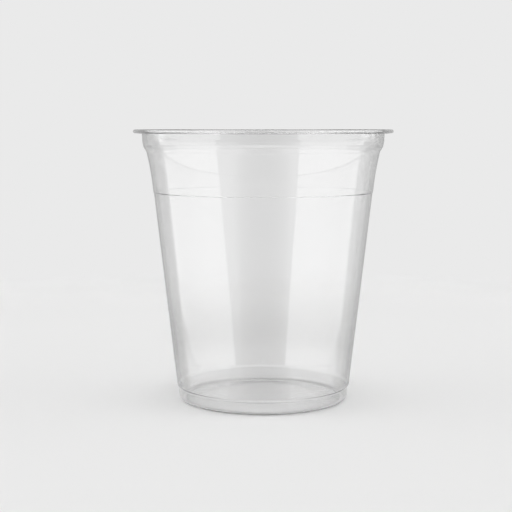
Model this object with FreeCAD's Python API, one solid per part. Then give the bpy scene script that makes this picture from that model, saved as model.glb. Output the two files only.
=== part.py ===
"""Clear plastic disposable cup, formed in one piece from thin sheet.

The sheet keeps one thickness from the middle of the base to the end of the rolled rim.
Its outer face is drawn as a list of corners, each with its own rounding. The face that
the drink touches is the same list moved sideways by one wall, and the strip between the
two is turned once round the axis.

From the table up, the sheet makes a shallow domed base, a ring to stand on, a short foot,
a ledge where the wall steps out over the foot, a tapered wall, a fine step round the wall,
a flare, a stacking shoulder, a neck, and a rim that is rolled out, down and back in.

Millimetres. The origin is the centre of the standing ring, on the table, and +Z is up.
Every diameter and height is of the outside of the cup.
"""
import FreeCAD, Part
import math
import os

# The whole cup
HEIGHT = 99.5
RIM_DIAMETER = 95.0
WALL = 0.4

# Base: a shallow dome stands clear of the table, inside the ring that carries the cup
DOME_DIAMETER = 32.0
DOME_RISE = 1.6
DOME_ROUNDING = 60.0
RING_INNER_DIAMETER = 57.2
RING_INNER_CORNER = 2.0

# Foot: a short upright band under the wall
FOOT_DIAMETER = 62.9
FOOT_HEIGHT = 4.6
FOOT_DRAFT = 0.1
FOOT_CORNER = 1.5

# Ledge: the wall steps out over the foot, which stops stacked cups from jamming
LEDGE_WIDTH = 0.6
LEDGE_RISE = 0.8
LEDGE_HOLLOW = 0.5
LEDGE_CORNER = 0.7

# Step: a fine line round the wall, above which the wall is set out a little
STEP_BELOW_RIM = 23.0
STEP_DIAMETER = 80.24
STEP_WIDTH = 0.16
STEP_HEIGHT = 0.25
STEP_HOLLOW = 0.3
STEP_CORNER = 0.55

# Flare and shoulder: the wall opens, then steps out to the neck
SHOULDER_BELOW_RIM = 8.1
SHOULDER_DIAMETER = 85.4
SHOULDER_RISE = 1.9
SHOULDER_STEP = 1.1
SHOULDER_HOLLOW = 1.0
SHOULDER_CORNER = 1.1
FLARE_RADIUS = 100.0

# Neck: the nearly upright band that a lid grips under the rim
NECK_BELOW_RIM = 4.3
NECK_DIAMETER = 88.3
NECK_TOP_DIAMETER = 88.7
NECK_CORNER = 2.0
NECK_FILLET = 0.5

# Rolled rim: flat on top, round at its edge, with its end tucked back to the neck
ROLL_HEIGHT = 1.3
ROLL_GAP = 0.4
ROLL_DROP = 0.25

AXIS_FOOT = FreeCAD.Vector(0, 0, 0)
AXIS_UP = FreeCAD.Vector(0, 0, 1)
FULL_TURN = 360
SHORTEST_RUN = 0.001


def section_point(radius, height):
    """A point of the cup's section, which lies in the XZ plane."""
    return FreeCAD.Vector(radius, 0, height)


def base_corners():
    """The underside, from the axis to the outside of the foot: (radius, height, rounding)."""
    foot_radius = FOOT_DIAMETER / 2
    return [
        (0, DOME_RISE, 0),
        (DOME_DIAMETER / 2, DOME_RISE, DOME_ROUNDING),
        (RING_INNER_DIAMETER / 2, 0, RING_INNER_CORNER),
        (foot_radius - FOOT_DRAFT, 0, FOOT_CORNER),
        (foot_radius, FOOT_HEIGHT, LEDGE_HOLLOW),
    ]


def wall_corners():
    """The outside, from the ledge over the foot to the flare, with the fine step on its way."""
    low_radius = FOOT_DIAMETER / 2 + LEDGE_WIDTH
    low_height = FOOT_HEIGHT + LEDGE_RISE
    step_radius = STEP_DIAMETER / 2
    step_height = HEIGHT - STEP_BELOW_RIM
    taper = (step_radius - low_radius) / (step_height - low_height)
    set_out = step_radius + STEP_WIDTH
    to_flare = (STEP_BELOW_RIM - SHOULDER_BELOW_RIM) / 2
    return [
        (low_radius, low_height, LEDGE_CORNER),
        (step_radius, step_height, STEP_HOLLOW),
        (set_out + taper * STEP_HEIGHT, step_height + STEP_HEIGHT, STEP_CORNER),
        (set_out + taper * to_flare, step_height + to_flare, FLARE_RADIUS),
    ]


def neck_corners():
    """The outside of the shoulder and the neck, up to the underside of the rim."""
    shoulder_radius = SHOULDER_DIAMETER / 2
    shoulder_height = HEIGHT - SHOULDER_BELOW_RIM
    return [
        (shoulder_radius, shoulder_height, SHOULDER_HOLLOW),
        (shoulder_radius + SHOULDER_STEP, shoulder_height + SHOULDER_RISE, SHOULDER_CORNER),
        (NECK_DIAMETER / 2, HEIGHT - NECK_BELOW_RIM, NECK_CORNER),
        (NECK_TOP_DIAMETER / 2, HEIGHT - WALL, NECK_FILLET),
    ]


def rim_corners():
    """The hidden side of the roll: out under the rim's flat top, down its edge and back in."""
    edge_radius = RIM_DIAMETER / 2 - WALL
    hollow_top = HEIGHT - WALL
    hollow_bottom = HEIGHT - ROLL_HEIGHT + WALL
    half_hollow = (hollow_top - hollow_bottom) / 2
    return [
        (edge_radius, hollow_top, half_hollow),
        (edge_radius, hollow_bottom, half_hollow),
        (NECK_TOP_DIAMETER / 2 + ROLL_GAP, hollow_bottom - ROLL_DROP, 0),
    ]


def turn_at(before, corner, after):
    """The angle by which the outline turns left at a corner, in radians."""
    heading_in = math.atan2(corner[1] - before[1], corner[0] - before[0])
    heading_out = math.atan2(after[1] - corner[1], after[0] - corner[0])
    return math.remainder(heading_out - heading_in, 2 * math.pi)


def moved_left(corners, distance):
    """The same corners with every run moved left by a distance, and the roundings kept parallel."""
    moved = []
    last = len(corners) - 1
    for index, (radius, height, rounding) in enumerate(corners):
        before = corners[max(index, 1) - 1]
        after = corners[min(index, last - 1) + 1]
        if index == 0:
            before = (2 * radius - after[0], 2 * height - after[1])
        if index == last:
            after = (2 * radius - before[0], 2 * height - before[1])
        turn = turn_at(before, (radius, height), after)
        heading = math.atan2(height - before[1], radius - before[0]) + turn / 2
        reach = distance / math.cos(turn / 2)
        moved.append((
            radius - reach * math.sin(heading),
            height + reach * math.cos(heading),
            rounding - math.copysign(distance, turn) if rounding else 0,
        ))
    return moved


def straight_run(start, end):
    """The straight edge between two points, or nothing where two arcs meet directly."""
    if (end - start).Length < SHORTEST_RUN:
        return []
    return [Part.LineSegment(start, end).toShape()]


def rounded_edges(corners):
    """The outline through a list of corners: straight runs joined by arcs tangent to both."""
    edges = []
    here = section_point(*corners[0][:2])
    for before, corner, after in zip(corners, corners[1:], corners[2:]):
        half_turn = abs(turn_at(before, corner, after)) / 2
        rounding = corner[2]
        point = section_point(*corner[:2])
        back = (section_point(*before[:2]) - point).normalize()
        ahead = (section_point(*after[:2]) - point).normalize()
        start = point + back * (rounding * math.tan(half_turn))
        end = point + ahead * (rounding * math.tan(half_turn))
        middle = point + (back + ahead).normalize() * (rounding / math.cos(half_turn) - rounding)
        edges += straight_run(here, start)
        edges.append(Part.Arc(start, middle, end).toShape())
        here = end
    return edges + straight_run(here, section_point(*corners[-1][:2]))


def cup_section():
    """The strip of sheet between the outer face and the face that the drink touches."""
    outer = base_corners() + wall_corners() + neck_corners() + rim_corners()
    inner = moved_left(outer, WALL)
    outer_edges = rounded_edges(outer)
    inner_edges = rounded_edges(inner)
    sheet_end = straight_run(section_point(*outer[-1][:2]), section_point(*inner[-1][:2]))
    middle = straight_run(section_point(*inner[0][:2]), section_point(*outer[0][:2]))
    return Part.Face(Part.Wire(outer_edges + sheet_end + inner_edges[::-1] + middle))


def cup():
    """The finished cup: its section turned once round the axis."""
    return Part.Solid(cup_section().revolve(AXIS_FOOT, AXIS_UP, FULL_TURN))


def main():
    os.makedirs("parts", exist_ok=True)
    solid = cup()
    solid.exportStep("parts/cup.step")
    print("valid", solid.isValid(), "volume mm3", round(solid.Volume, 1))
    box = solid.optimalBoundingBox()
    print("size mm", round(box.XLength, 2), round(box.YLength, 2), round(box.ZLength, 2))


main()
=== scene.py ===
"""Looks for a clear plastic disposable cup, made around its fixed frame.

The cup is one sheet of constant thickness. Its outer face is drawn as corners joined by
arcs, spun round the axis, and given its wall. The studio is a pale room with a tall soft
light on either side, which the thin wall mirrors as two bright bands.
Everything is in metres, with the cup standing at the origin and +Z up.
"""
import math

import bmesh
import bpy
from bpy.props import FloatProperty, FloatVectorProperty, IntProperty, PointerProperty
from mathutils import Matrix, Vector


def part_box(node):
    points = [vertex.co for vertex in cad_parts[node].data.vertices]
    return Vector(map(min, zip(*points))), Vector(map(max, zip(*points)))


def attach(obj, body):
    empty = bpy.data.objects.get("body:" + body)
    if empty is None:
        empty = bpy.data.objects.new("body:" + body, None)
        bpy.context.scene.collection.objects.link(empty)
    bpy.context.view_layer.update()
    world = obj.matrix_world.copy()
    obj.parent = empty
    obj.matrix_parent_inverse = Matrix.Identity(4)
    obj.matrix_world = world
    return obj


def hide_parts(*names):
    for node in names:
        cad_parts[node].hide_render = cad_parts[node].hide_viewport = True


bl_info = {
    "name": "Clear disposable cup",
    "version": (1, 0, 0),
    "blender": (4, 5, 0),
    "location": "View3D > Sidebar > Cup",
    "description": "Makes a thin clear plastic cup and the pale studio that it stands in",
    "category": "Object",
}

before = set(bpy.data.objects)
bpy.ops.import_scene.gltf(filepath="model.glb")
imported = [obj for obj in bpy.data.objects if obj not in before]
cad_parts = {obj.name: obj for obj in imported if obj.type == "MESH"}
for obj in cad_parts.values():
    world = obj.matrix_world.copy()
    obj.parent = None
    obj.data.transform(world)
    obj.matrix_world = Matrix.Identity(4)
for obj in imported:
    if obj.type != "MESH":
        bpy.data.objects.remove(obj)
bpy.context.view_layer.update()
CUP_LOW, CUP_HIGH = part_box("cup")

MM = 0.001
FULL_TURN = 2 * math.pi

# Sizes of the section from the base to the rim. Radii and heights are of the outside
DOME_RADIUS = 16 * MM
DOME_RISE = 1.6 * MM
RING_INNER_RADIUS = 28.6 * MM
FOOT_DRAFT = 0.1 * MM
FOOT_HEIGHT = 4.6 * MM
LEDGE_WIDTH = 0.6 * MM
LEDGE_RISE = 0.8 * MM
STEP_RADIUS = 40.12 * MM
STEP_BELOW_RIM = 23 * MM
STEP_RISE = 0.25 * MM
STEP_TO_FLARE = 7.45 * MM
SHOULDER_RADIUS = 42.7 * MM
SHOULDER_BELOW_RIM = 8.1 * MM
SHOULDER_WIDTH = 1.1 * MM
SHOULDER_RISE = 1.9 * MM
NECK_RADIUS = 44.15 * MM
NECK_BELOW_RIM = 4.3 * MM
NECK_TOP_RADIUS = 44.35 * MM
ROLL_HEIGHT = 1.3 * MM
ROLL_GAP = 0.4 * MM
ROLL_DROP = 0.25 * MM

# How finely the section is drawn
TURN_OF_ONE_RUN = math.radians(11)
FEWEST_RUNS = 6
SHORTEST_RUN = 0.001 * MM
MERGE_DISTANCE = 0.0001 * MM
SHARP_ANGLE = math.radians(50)

# Finish of the sheet
WAVE_SCALE = (90, 90, 14)
WAVE_STRENGTH = 0.05
WAVE_DEPTH = 0.2 * MM
HAZE_SCALE = 120
HAZE_SPREAD = 0.03

# Stage
FLOOR_RADIUS = 450 * MM
FLOOR_CORNERS = 96
NEAREST_SEEN = 10 * MM


class CupSettings(bpy.types.PropertyGroup):
    """Sizes and finish of the cup. Diameters and heights are of its outside."""

    height: FloatProperty(
        name="Height", description="From the table to the top of the rim",
        default=CUP_HIGH[2] - CUP_LOW[2], unit="LENGTH")
    rim_diameter: FloatProperty(
        name="Rim diameter", description="Across the rolled rim",
        default=CUP_HIGH[0] - CUP_LOW[0], unit="LENGTH")
    foot_diameter: FloatProperty(
        name="Foot diameter", description="Across the upright band at the foot",
        default=62.9 * MM, unit="LENGTH")
    wall: FloatProperty(
        name="Wall", description="Thickness of the sheet",
        default=0.4 * MM, unit="LENGTH")
    step_width: FloatProperty(
        name="Step", description="How far the wall is set out above the fine step",
        default=0.16 * MM, unit="LENGTH")
    steps: IntProperty(
        name="Steps", description="Flat steps in one turn round the axis",
        default=288, min=48)
    tint: FloatVectorProperty(
        name="Tint", description="Colour that light takes on in the plastic",
        default=(0.9, 0.9, 0.9), subtype="COLOR", min=0, max=1)
    density: FloatProperty(
        name="Density", description="How strongly the plastic takes up light along its path",
        default=150)
    refraction: FloatProperty(
        name="Refraction", description="Refractive index of the plastic",
        default=1.5)
    roughness: FloatProperty(
        name="Roughness", description="Mean blur of the gloss",
        default=0.03, subtype="FACTOR", min=0, max=1)
    # Painted shade: these three settings darken the sheet's colour low in the wall, in the foot
    # and in the neck, standing in for shade that falls there. The plastic itself is no greyer in
    # these places.
    low_wall_painted_shade: FloatProperty(
        name="Low grey", description="Share of light that the sheet keeps back low in the wall",
        default=0.075, subtype="FACTOR", min=0, max=1)
    foot_painted_shade: FloatProperty(
        name="Foot grey", description="Share of light that the sheet keeps back in the foot",
        default=0.085, subtype="FACTOR", min=0, max=1)
    neck_painted_shade: FloatProperty(
        name="Neck grey", description="Share of light that the sheet keeps back in the neck",
        default=0.04, subtype="FACTOR", min=0, max=1)
    wall_shade: FloatProperty(
        name="Wall shade", description="Share of a lamp's light that passes a face of the wall",
        default=0.975, subtype="FACTOR", min=0, max=1)
    foot_shade: FloatProperty(
        name="Foot shade", description="Share of a lamp's light that passes a face of the foot",
        default=0.84, subtype="FACTOR", min=0, max=1)
    ring_shade: FloatProperty(
        name="Ring shade", description="Share that passes where the ring touches the floor",
        default=0.42, subtype="FACTOR", min=0, max=1)
    base_shade: FloatProperty(
        name="Base shade", description="Share that passes a face of the base inside the ring",
        default=0.97, subtype="FACTOR", min=0, max=1)


class StudioSettings(bpy.types.PropertyGroup):
    """Backdrop, floor and soft lights."""

    backdrop: FloatProperty(
        name="Backdrop", description="Grey of the backdrop, also where it is seen through the cup",
        default=0.8228, subtype="FACTOR", min=0, max=1)
    floor: FloatProperty(
        name="Floor", description="Grey of the floor's paint",
        default=0.78, subtype="FACTOR", min=0, max=1)
    side_light: FloatProperty(
        name="Side lights", description="Strength of the tall soft light on either side",
        default=2.45)
    top_light: FloatProperty(
        name="Top light", description="Strength of the soft light overhead",
        default=1.8)
    fill_light: FloatProperty(
        name="Fill light", description="Strength of the room between the camera and the lights",
        default=0.9)
    back_light: FloatProperty(
        name="Back light", description="Strength of the room behind the lights",
        default=0.82)
    floor_light: FloatProperty(
        name="Floor light", description="Strength of the lamps where they fall on the floor",
        default=7.06)
    floor_fill: FloatProperty(
        name="Floor fill", description="Strength of the rest of the room on the floor",
        default=0.12)


class ViewSettings(bpy.types.PropertyGroup):
    """Where the picture is taken from."""

    lens: FloatProperty(
        name="Focal length", description="Focal length on a sensor 36 mm wide, in millimetres",
        default=82.4)
    distance: FloatProperty(
        name="Distance", description="From the camera to the cup's axis",
        default=432 * MM, unit="LENGTH")
    above_floor: FloatProperty(
        name="Height", description="Height of the camera above the floor",
        default=99.55 * MM, unit="LENGTH")
    tilt: FloatProperty(
        name="Tilt", description="How far the camera looks down",
        default=math.radians(6.17), subtype="ANGLE")
    swing: FloatProperty(
        name="Swing", description="How far the camera looks to the left of the cup",
        default=math.radians(0.35), subtype="ANGLE")


def section_corners(cup):
    """The outer face from the middle of the base to the end of the rolled rim.

    Each corner is a radius, a height and a rounding.
    """
    foot = cup.foot_diameter / 2
    ledge = FOOT_HEIGHT + LEDGE_RISE
    step = cup.height - STEP_BELOW_RIM
    taper = (STEP_RADIUS - foot - LEDGE_WIDTH) / (step - ledge)
    above_step = STEP_RADIUS + cup.step_width
    shoulder = cup.height - SHOULDER_BELOW_RIM
    edge = cup.rim_diameter / 2 - cup.wall
    hollow_top = cup.height - cup.wall
    hollow_bottom = cup.height - ROLL_HEIGHT + cup.wall
    roll = (hollow_top - hollow_bottom) / 2
    return [
        (0, DOME_RISE, 0),
        (DOME_RADIUS, DOME_RISE, 60 * MM),
        (RING_INNER_RADIUS, 0, 2 * MM),
        (foot - FOOT_DRAFT, 0, 1.5 * MM),
        (foot, FOOT_HEIGHT, 0.5 * MM),
        (foot + LEDGE_WIDTH, ledge, 0.7 * MM),
        (STEP_RADIUS, step, 0.3 * MM),
        (above_step + taper * STEP_RISE, step + STEP_RISE, 0.55 * MM),
        (above_step + taper * STEP_TO_FLARE, step + STEP_TO_FLARE, 100 * MM),
        (SHOULDER_RADIUS, shoulder, 1 * MM),
        (SHOULDER_RADIUS + SHOULDER_WIDTH, shoulder + SHOULDER_RISE, 1.1 * MM),
        (NECK_RADIUS, cup.height - NECK_BELOW_RIM, 2 * MM),
        (NECK_TOP_RADIUS, hollow_top, 0.5 * MM),
        (edge, hollow_top, roll),
        (edge, hollow_bottom, roll),
        (NECK_TOP_RADIUS + ROLL_GAP, hollow_bottom - ROLL_DROP, 0),
    ]


def place_of(corner):
    """A corner's place in the plane of the section."""
    return Vector((corner[0], 0, corner[1]))


def heading(start, end):
    """The direction from one corner to another, as an angle that turns from outwards to up."""
    return math.atan2(end[1] - start[1], end[0] - start[0])


def run_to(bm, tip, place):
    """Draws a straight run from the tip of the section, and gives the new tip."""
    if (place - tip.co).length < SHORTEST_RUN:
        return tip
    new_tip = bmesh.ops.extrude_vert_indiv(bm, verts=[tip])["verts"][0]
    new_tip.co = place
    return new_tip


def trace_section(bm, corners):
    """Draws the section as a row of edges: straight runs joined by arcs."""
    tip = bm.verts.new(place_of(corners[0]))
    for before, corner, after in zip(corners, corners[1:], corners[2:]):
        come = heading(before, corner)
        turn = math.remainder(heading(corner, after) - come, FULL_TURN)
        rounding = corner[2]
        ahead = Vector((math.cos(come), 0, math.sin(come)))
        inward = Vector((-math.sin(come), 0, math.cos(come))) * math.copysign(1, turn)
        start = place_of(corner) - ahead * (rounding * math.tan(abs(turn) / 2))
        tip = run_to(bm, tip, start)
        turned = bmesh.ops.spin(
            bm, geom=[tip], cent=start + inward * rounding, axis=(0, -1, 0), dvec=(0, 0, 0),
            angle=turn, steps=max(FEWEST_RUNS, round(abs(turn) / TURN_OF_ONE_RUN)),
            use_duplicate=False)
        tip = [part for part in turned["geom_last"] if isinstance(part, bmesh.types.BMVert)][0]
    run_to(bm, tip, place_of(corners[-1]))


def formed_sheet(cup):
    """The whole cup as one closed mesh of constant wall."""
    bm = bmesh.new()
    trace_section(bm, section_corners(cup))
    bmesh.ops.spin(
        bm, geom=bm.verts[:] + bm.edges[:], cent=(0, 0, 0), axis=(0, 0, 1), dvec=(0, 0, 0),
        angle=FULL_TURN, steps=cup.steps, use_merge=True, use_duplicate=False)
    bmesh.ops.remove_doubles(bm, verts=bm.verts[:], dist=MERGE_DISTANCE)
    bmesh.ops.recalc_face_normals(bm, faces=bm.faces[:])
    middle = min(bm.faces, key=lambda face: face.calc_center_median().xy.length)
    if middle.normal.z > 0:
        bmesh.ops.reverse_faces(bm, faces=bm.faces[:])
    bmesh.ops.solidify(bm, geom=bm.faces[:], thickness=cup.wall)
    mesh = bpy.data.meshes.new("formed_cup")
    bm.to_mesh(mesh)
    bm.free()
    mesh.shade_smooth()
    mesh.set_sharp_from_angle(angle=SHARP_ANGLE)
    return mesh


class Signal:
    """A shader socket in Python arithmetic. Each operator adds one Math node."""

    def __init__(self, shader, socket):
        self.shader = shader
        self.socket = socket

    def maths(self, operation, *others):
        """This signal and others through one Math node."""
        values = dict(enumerate((self,) + others))
        return self.shader.node("ShaderNodeMath", {"operation": operation}, values)

    def other(self, name):
        """Another output of the node that this signal comes from."""
        return Signal(self.shader, self.socket.node.outputs[name])

    def __add__(self, value):
        return self.maths("ADD", value)

    __radd__ = __add__

    def __mul__(self, value):
        return self.maths("MULTIPLY", value)

    __rmul__ = __mul__

    def __sub__(self, value):
        return self.maths("SUBTRACT", value)

    def __rsub__(self, value):
        return (self * -1) + value

    def rises(self, low, high):
        """0 below low, 1 above high, and a smooth rise between them."""
        return self.shader.node(
            "ShaderNodeMapRange", {"interpolation_type": "SMOOTHSTEP"},
            {"Value": self, "From Min": low, "From Max": high})

    def falls(self, low, high):
        """1 below low, 0 above high, and a smooth fall between them."""
        return 1 - self.rises(low, high)

    def blend(self, off, on):
        """One value where this signal is 0, and another where it is 1."""
        return off * (1 - self) + on * self


class Shader:
    """The node tree of a material or world while it is written."""

    def __init__(self, owner):
        owner.use_nodes = True
        self.tree = owner.node_tree
        self.tree.nodes.clear()

    def node(self, kind, settings, sockets):
        """Adds a node, sets it, fills or links its sockets, and gives its first output."""
        node = self.tree.nodes.new(kind)
        for name, value in settings.items():
            setattr(node, name, value)
        for name, value in sockets.items():
            if isinstance(value, Signal):
                self.tree.links.new(value.socket, node.inputs[name])
            else:
                node.inputs[name].default_value = value
        outputs = [socket for socket in node.outputs if socket.enabled]
        return Signal(self, outputs[0]) if outputs else None


def grey(value):
    """A neutral colour."""
    return (value, value, value, 1)


def mixed(factor, first, second):
    """One shader where the factor is 0, and another where it is 1."""
    return factor.shader.node("ShaderNodeMixShader", {}, {0: factor, 1: first, 2: second})


def sheet_painted_shade(cup, height, outside_base):
    """Painted shade in the colour: 1 where clear, and a little darker low in the wall, in the foot
    and in the neck.
    """
    low_wall = height.rises(9 * MM, 19 * MM) * height.falls(20 * MM, 50 * MM)
    foot = outside_base * height.falls(4.4 * MM, 5.2 * MM)
    over_shoulder = height.rises(cup.height - 6.8 * MM, cup.height - 6.4 * MM)
    under_rim = height.falls(cup.height - 1.7 * MM, cup.height - 0.7 * MM)
    neck = over_shoulder * under_rim
    return 1 - low_wall * cup.low_wall_painted_shade - foot * cup.foot_painted_shade - neck * cup.neck_painted_shade


def passed_light(shader, cup, height, outside_base):
    """What the floor gets of a lamp through the cup. Each part lets its own share pass."""
    ring, foot, base, wall = (
        shader.node("ShaderNodeBsdfTransparent", {}, {"Color": grey(share)})
        for share in (cup.ring_shade, cup.foot_shade, cup.base_shade, cup.wall_shade))
    over_ring = height.rises(0.15 * MM, 0.5 * MM)
    over_foot = height.rises(8 * MM, 14 * MM)
    low = mixed(outside_base, base, mixed(over_ring, ring, foot))
    return mixed(over_foot, low, wall)


def clear_plastic(cup):
    """Clear glossy sheet, with the faint waves and haze that forming leaves in it."""
    material = bpy.data.materials.new("clear_plastic")
    shader = Shader(material)
    place = shader.node("ShaderNodeTexCoord", {}, {}).other("Object")
    across = shader.node("ShaderNodeSeparateXYZ", {}, {"Vector": place})
    depth, height = across.other("Y"), across.other("Z")
    radius = (across * across + depth * depth).maths("SQRT")
    outside_base = radius.rises(27 * MM, 29 * MM)

    drawn = shader.node("ShaderNodeMapping", {}, {"Vector": place, "Scale": WAVE_SCALE})
    waves = shader.node("ShaderNodeTexNoise", {}, {"Vector": drawn, "Scale": 1, "Detail": 2})
    under_neck = height.falls(cup.height - 11.5 * MM, cup.height - 3.5 * MM)
    relief = shader.node("ShaderNodeBump", {}, {
        "Height": waves * under_neck, "Strength": WAVE_STRENGTH, "Distance": WAVE_DEPTH})
    haze = shader.node(
        "ShaderNodeTexNoise", {}, {"Vector": place, "Scale": HAZE_SCALE, "Detail": 3})
    plastic = shader.node("ShaderNodeBsdfPrincipled", {}, {
        # Painted shade: the base colour is darkened low in the wall, in the foot and in the neck.
        "Base Color": sheet_painted_shade(cup, height, outside_base),
        "Roughness": haze * HAZE_SPREAD + (cup.roughness - HAZE_SPREAD / 2),
        "IOR": cup.refraction,
        "Transmission Weight": 1,
        "Normal": relief,
    })

    path = shader.node("ShaderNodeLightPath", {}, {})
    to_lamp = path.other("Is Shadow Ray").maths("MAXIMUM", path.other("Is Diffuse Ray"))
    surface = mixed(to_lamp, plastic, passed_light(shader, cup, height, outside_base))
    inside = shader.node(
        "ShaderNodeVolumeAbsorption", {}, {"Color": (*cup.tint, 1), "Density": cup.density})
    shader.node("ShaderNodeOutputMaterial", {}, {"Surface": surface, "Volume": inside})
    return material


def floor_paint(studio):
    """Matt floor that fades out far from the cup, where the backdrop takes over.

    It fades as a fine grain of holes. The gloss mirrors only the floor close to the foot.
    """
    material = bpy.data.materials.new("pale_floor")
    shader = Shader(material)
    place = shader.node("ShaderNodeTexCoord", {}, {}).other("Object")
    away = shader.node("ShaderNodeVectorMath", {"operation": "LENGTH"}, {0: place})
    grain = shader.node("ShaderNodeTexWhiteNoise", {"noise_dimensions": "3D"}, {"Vector": place})
    faded = away.rises(220 * MM, 400 * MM).maths("GREATER_THAN", grain)
    path = shader.node("ShaderNodeLightPath", {}, {})
    is_mirrored = path.other("Glossy Depth").maths("GREATER_THAN", 0.5)
    gone = faded.maths("MAXIMUM", is_mirrored * away.rises(36 * MM, 50 * MM))
    paint = shader.node("ShaderNodeBsdfDiffuse", {}, {"Color": grey(studio.floor)})
    nothing = shader.node("ShaderNodeBsdfTransparent", {}, {"Color": grey(1)})
    shader.node("ShaderNodeOutputMaterial", {}, {"Surface": mixed(gone, paint, nothing)})
    return material


def side_panels(round_cup, lift, on_right):
    """Where the tall soft lights stand, and where their outer edges are.

    Their inner edges lean away from the camera up to a bend, and are nearly upright over it.
    The right ones have places of their own, because the cup's two bands are not alike.
    """
    bend = 8.5
    lean = on_right.blend(1, 1.3)
    lean_over_bend = on_right.blend(0.1, 0.25)
    inner = on_right.blend(30, 38) + lift.maths("MINIMUM", bend) * lean
    inner = inner + (lift - bend).maths("MAXIMUM", 0) * lean_over_bend
    outer = on_right.blend(122, 127) - lift.rises(13, 24) * 9
    between = (round_cup - inner).rises(-1.5, 1.5) * (round_cup - outer).falls(-3, 3)
    over_lower_edge = (lift - round_cup.rises(113, 119) * 0.5).rises(-4, -2.8)
    return between * over_lower_edge * lift.falls(50, 58), outer


def mirrored_room(round_cup, lift, on_right, studio):
    """The light that the gloss mirrors: soft panels, the dark ahead, the wall at the back."""
    panel, outer = side_panels(round_cup, lift, on_right)
    dimmed = lift.rises(2, 9) * 0.06 + round_cup.rises(72, 125) * 0.25
    panel_light = (1 - dimmed) * studio.side_light

    below = lift.falls(-10, -7)
    sides = round_cup.rises(4, 46) * lift.rises(0, 4) * studio.fill_light
    floor_glow = below * (round_cup.rises(8, 40) + round_cup.rises(22, 30)) * 0.25
    under_panel = round_cup.rises(100, 110) * (1 - below) * lift.falls(-4, -2.8)
    ahead = sides + floor_glow + under_panel

    even_glow = 0.25
    last = round_cup.rises(136, 158)
    last_glow = last * 0.45
    high_glow = lift.rises(20, 30) * last.blend(0.8, 0.5)
    deep_glow = lift.falls(-34, -24) * 1.1
    behind = (last_glow + high_glow + deep_glow + even_glow) * studio.back_light

    at_back = (round_cup - outer).rises(-7, 2)
    walls = panel.blend(at_back.blend(ahead, behind), panel_light)
    return lift.rises(54, 62).blend(walls, studio.top_light)


def floor_lamps(round_cup, lift, studio):
    """The light that falls on the floor: a lamp on either side, a weak one ahead, a fill."""
    sideways = round_cup.rises(62, 76) * round_cup.falls(104, 118) * lift.rises(4, 14)
    facing = round_cup.falls(24, 44) * lift.rises(16, 26) * 0.25
    lamps = (sideways + facing) * lift.falls(44, 54)
    return lamps * studio.floor_light + studio.floor_fill


def studio_room(world, studio):
    """A plain pale backdrop, with the lights and the dark of the room round the cup.

    Angles are in degrees. round_cup is 0 towards the camera and 180 towards the backdrop,
    and lift is the height over the horizon.
    """
    shader = Shader(world)
    towards = shader.node("ShaderNodeTexCoord", {}, {})
    across = shader.node("ShaderNodeSeparateXYZ", {}, {"Vector": towards})
    depth, up = across.other("Y"), across.other("Z")
    round_cup = across.maths("ABSOLUTE").maths("ARCTAN2", depth * -1).maths("DEGREES")
    lift = up.maths("ARCSINE").maths("DEGREES")
    on_right = across.maths("GREATER_THAN", 0.0)

    path = shader.node("ShaderNodeLightPath", {}, {})
    is_mirrored = path.other("Glossy Depth").maths("GREATER_THAN", 0.5)
    is_scattered = path.other("Diffuse Depth").maths("GREATER_THAN", 0.5)
    seen = is_mirrored.blend(studio.backdrop, mirrored_room(round_cup, lift, on_right, studio))
    strength = is_scattered.blend(seen, floor_lamps(round_cup, lift, studio))
    room = shader.node("ShaderNodeBackground", {}, {"Color": grey(1), "Strength": strength})
    shader.node("ShaderNodeOutputWorld", {}, {"Surface": room})


def add_piece(name, mesh, material):
    """Puts a mesh into the scene at the origin, with one material."""
    piece = bpy.data.objects.new(name, mesh)
    mesh.materials.append(material)
    bpy.context.scene.collection.objects.link(piece)
    return piece


def add_floor(studio):
    """A round floor at table level, which belongs to the stage."""
    bm = bmesh.new()
    bmesh.ops.create_circle(bm, cap_ends=True, segments=FLOOR_CORNERS, radius=FLOOR_RADIUS)
    mesh = bpy.data.meshes.new("floor")
    bm.to_mesh(mesh)
    bm.free()
    add_piece("floor", mesh, floor_paint(studio))


def add_camera(scene, view):
    """A camera in front of the cup, tilted down and swung a little to the left."""
    camera = bpy.data.objects.new("camera", bpy.data.cameras.new("camera"))
    camera.data.lens = view.lens
    camera.data.clip_start = NEAREST_SEEN
    camera.matrix_world = (
        Matrix.Translation((0, -view.distance, view.above_floor))
        @ Matrix.Rotation(view.swing, 4, "Z")
        @ Matrix.Rotation(math.pi / 2 - view.tilt, 4, "X"))
    scene.collection.objects.link(camera)
    scene.camera = camera


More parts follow.
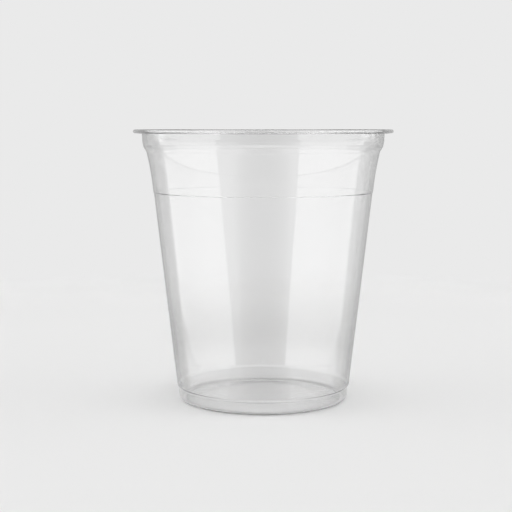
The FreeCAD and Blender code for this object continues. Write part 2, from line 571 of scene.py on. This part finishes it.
class FormCup(bpy.types.Operator):
    """Make the clear cup in the place of its plain solid"""

    bl_idname = "clear_cup.form_cup"
    bl_label = "Form cup"

    def execute(self, context):
        cup = context.scene.clear_cup
        piece = add_piece("clear_cup", formed_sheet(cup), clear_plastic(cup))
        even_shading = piece.modifiers.new("even_shading", "WEIGHTED_NORMAL")
        even_shading.keep_sharp = True
        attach(piece, "root")
        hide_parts("cup")
        return {"FINISHED"}


class SetStage(bpy.types.Operator):
    """Make the floor, the room with its lights, and the camera"""

    bl_idname = "clear_cup.set_stage"
    bl_label = "Set stage"

    def execute(self, context):
        scene = context.scene
        add_floor(scene.cup_studio)
        if scene.world is None:
            scene.world = bpy.data.worlds.new("studio")
        studio_room(scene.world, scene.cup_studio)
        scene.view_settings.view_transform = "Standard"
        add_camera(scene, scene.cup_view)
        return {"FINISHED"}


class CupPanel(bpy.types.Panel):
    """Sizes, finish and studio of the clear cup"""

    bl_idname = "VIEW3D_PT_clear_cup"
    bl_label = "Clear cup"
    bl_space_type = "VIEW_3D"
    bl_region_type = "UI"
    bl_category = "Cup"

    def draw(self, context):
        scene = context.scene
        for settings, operator in (
                (scene.clear_cup, FormCup), (scene.cup_studio, SetStage), (scene.cup_view, None)):
            box = self.layout.box()
            for name in settings.bl_rna.properties.keys():
                if name not in ("rna_type", "name"):
                    box.prop(settings, name)
            if operator:
                box.operator(operator.bl_idname)


CLASSES = (CupSettings, StudioSettings, ViewSettings, FormCup, SetStage, CupPanel)


def register():
    """Adds the classes and their settings to Blender."""
    for each in CLASSES:
        bpy.utils.register_class(each)
    bpy.types.Scene.clear_cup = PointerProperty(type=CupSettings)
    bpy.types.Scene.cup_studio = PointerProperty(type=StudioSettings)
    bpy.types.Scene.cup_view = PointerProperty(type=ViewSettings)


def unregister():
    """Takes the classes and their settings out of Blender again."""
    del bpy.types.Scene.cup_view
    del bpy.types.Scene.cup_studio
    del bpy.types.Scene.clear_cup
    for each in reversed(CLASSES):
        bpy.utils.unregister_class(each)


def main():
    """Makes the cup and its stage."""
    register()
    bpy.ops.clear_cup.form_cup()
    bpy.ops.clear_cup.set_stage()


if __name__ == "__main__":
    main()
